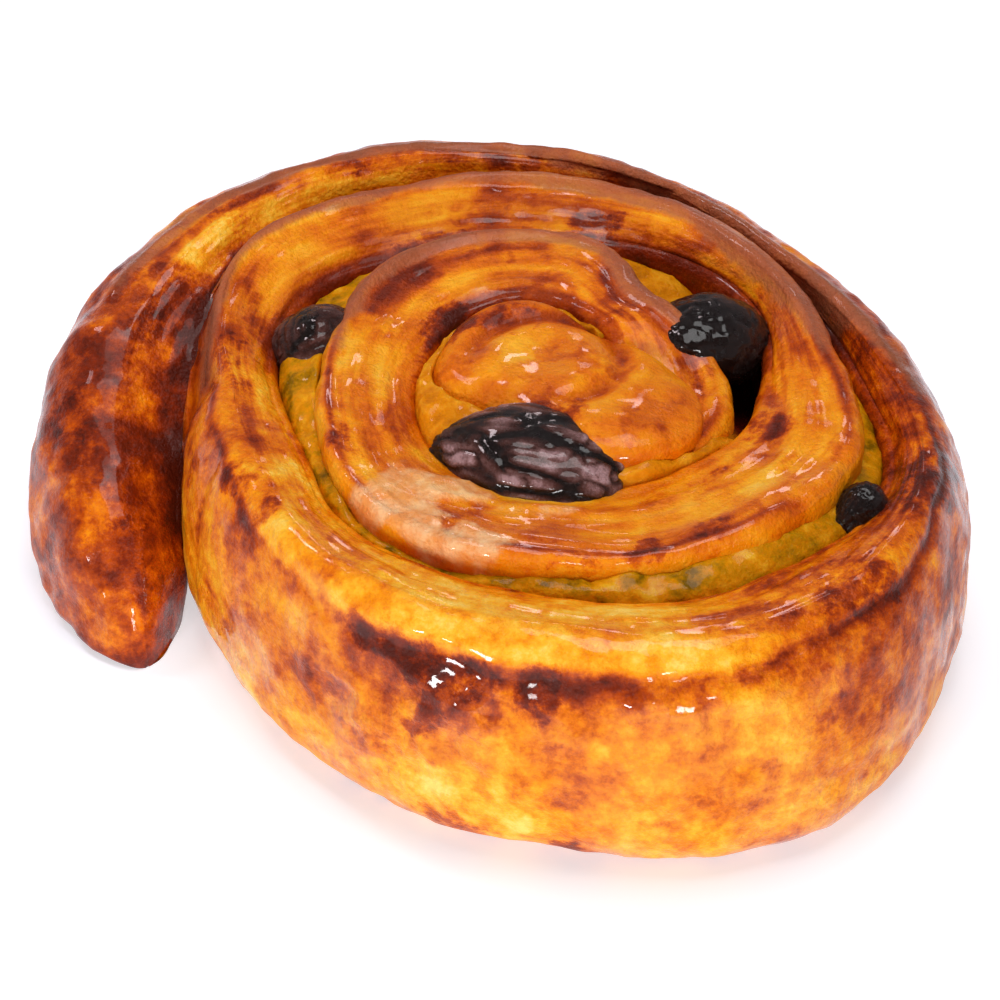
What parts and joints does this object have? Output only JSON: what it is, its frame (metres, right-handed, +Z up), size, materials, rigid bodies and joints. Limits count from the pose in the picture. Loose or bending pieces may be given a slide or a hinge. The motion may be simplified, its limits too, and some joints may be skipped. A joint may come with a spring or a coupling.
{
  "type": "pain aux raisins",
  "caption": "Pain aux raisins: a flat coil of laminated dough rolled with custard and raisins, with a free tail at one side.",
  "frame": {"origin": "middle of the bounding box's base, on the surface the pastry lies on", "axes": "+Z up from the flat base to the cut face; +X to the right with the tail at -X; -Y towards the viewer, where the coil bulges most"},
  "size_m": [0.0802, 0.077, 0.0245],
  "materials": {
    "dough": "golden to red-brown baked dough under a shiny glaze",
    "custard": "yellow baked custard, moist and slightly shiny",
    "raisin": "near-black wrinkled skin with a damp shine"
  },
  "bodies": {
    "root": {"dough": "dough", "custard": "custard", "raisin_left": "raisin", "raisin_back": "raisin", "raisin_front": "raisin", "raisin_right": "raisin"}
  },
  "joints": []
}
